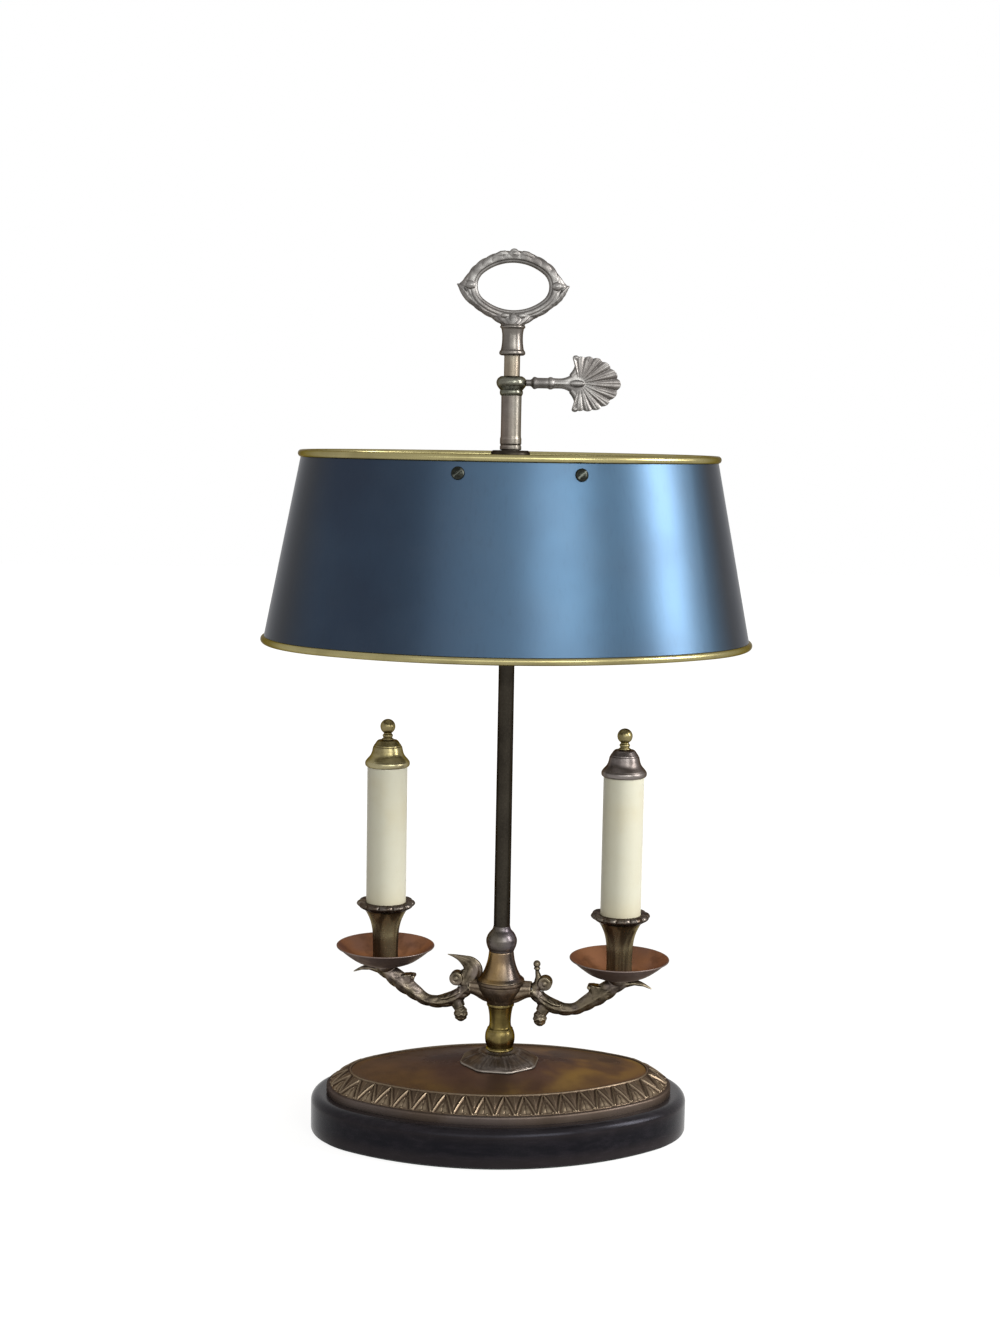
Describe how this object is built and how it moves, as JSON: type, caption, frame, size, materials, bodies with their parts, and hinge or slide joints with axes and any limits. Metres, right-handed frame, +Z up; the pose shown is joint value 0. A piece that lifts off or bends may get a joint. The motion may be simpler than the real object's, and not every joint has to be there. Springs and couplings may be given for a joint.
{
  "type": "bouillotte table lamp",
  "caption": "Candle-arm table lamp: oval metal shade that slides and turns on a brass rod with a ring handle, scrolled candle arms, brass dish on an oval wooden plinth.",
  "frame": {"origin": "centre of the lamp's bounding box, on the underside of the felt pad, which lies in the plane z = 0", "axes": "+Z up along the column; X along the long axis of the oval base; the pictured side faces -Y"},
  "size_m": [0.3784, 0.2806, 0.6861],
  "materials": {
    "felt": "felt",
    "black_wood": "semi-gloss lacquer",
    "black_plastic": "matte",
    "inner_brass": "satin",
    "steel": "brushed",
    "dish_brass": "polished, aged",
    "antique_brass": "antiqued",
    "gold_brass": "polished, lacquered",
    "arm_brass": "antiqued",
    "pan_copper": "red-brown patina",
    "dark_bronze": "dark patina",
    "bronze_tube": "bronzed, satin",
    "worn_brass": "worn, satin",
    "worn_steel": "satin",
    "handle_brass": "greyed antique brass",
    "rim_gold": "polished",
    "shade_blue": "satin lacquer",
    "candle_cream": "eggshell",
    "porcelain": "glazed",
    "bulb_glass": "frosted",
    "wire": "matte"
  },
  "bodies": {
    "lamp": {"felt_pad": "felt", "wood_plinth": "black_wood", "cord_bushing": "black_plastic", "base_nut": "inner_brass", "base_washer": "steel", "base_dish": "dish_brass", "foot_boss": "antique_brass", "lower_baluster": "gold_brass", "arm_hub": "antique_brass", "arm_studs": "steel", "bell_cone": "gold_brass", "column_knop": "dark_bronze", "column_tube": "bronze_tube", "centre_pipe": "steel", "inner_wire": "wire", "left_arm": "arm_brass", "right_arm": "arm_brass", "left_pan": "pan_copper", "right_pan": "pan_copper", "left_cup": "antique_brass", "right_cup": "antique_brass", "left_candle": "candle_cream", "right_candle": "candle_cream", "left_cap": "gold_brass", "right_cap": "dark_bronze", "left_ball": "gold_brass", "right_ball": "gold_brass", "left_tie_rod": "steel", "right_tie_rod": "steel", "cluster_body": "inner_brass", "cluster_nipples": "steel", "left_socket_cap": "inner_brass", "right_socket_cap": "inner_brass", "left_socket_shell": "inner_brass", "right_socket_shell": "inner_brass", "left_socket_core": "porcelain", "right_socket_core": "porcelain", "left_bulb": "bulb_glass", "right_bulb": "bulb_glass", "left_bulb_base": "steel", "right_bulb_base": "steel", "upper_rod": "worn_brass", "handle_ferrule": "worn_steel", "ring_handle": "handle_brass"},
    "clamp": {"clamp_collar": "handle_brass", "slide_sleeve": "worn_brass", "spider_nut": "inner_brass"},
    "shade": {"shade_shell": "shade_blue", "shade_top_rim": "rim_gold", "shade_bottom_rim": "rim_gold", "shade_spider": "bronze_tube", "shade_screws": "dark_bronze", "shade_nuts": "inner_brass"},
    "key": {"shell_key": "handle_brass"},
    "left_knob": {"left_switch_knob": "black_plastic"},
    "right_knob": {"right_switch_knob": "black_plastic"}
  },
  "joints": [
    {"name": "shade_slide", "type": "slide", "parent": "lamp", "child": "clamp", "axis": [0, 0, 1], "range_m": [-0.03, 0.015]},
    {"name": "shade_swivel", "type": "hinge", "parent": "clamp", "child": "shade", "pos_m": [0, 0, 0.533], "axis": [0, 0, 1], "continuous": true},
    {"name": "key_turn", "type": "hinge", "parent": "clamp", "child": "key", "pos_m": [0.02, 0, 0.5863], "axis": [1, 0, 0], "continuous": true},
    {"name": "left_switch_turn", "type": "hinge", "parent": "lamp", "child": "left_knob", "pos_m": [-0.0413, 0, 0.42], "axis": [0, 0, -1], "continuous": true},
    {"name": "right_switch_turn", "type": "hinge", "parent": "lamp", "child": "right_knob", "pos_m": [0.0413, 0, 0.42], "axis": [0, 0, -1], "continuous": true}
  ]
}
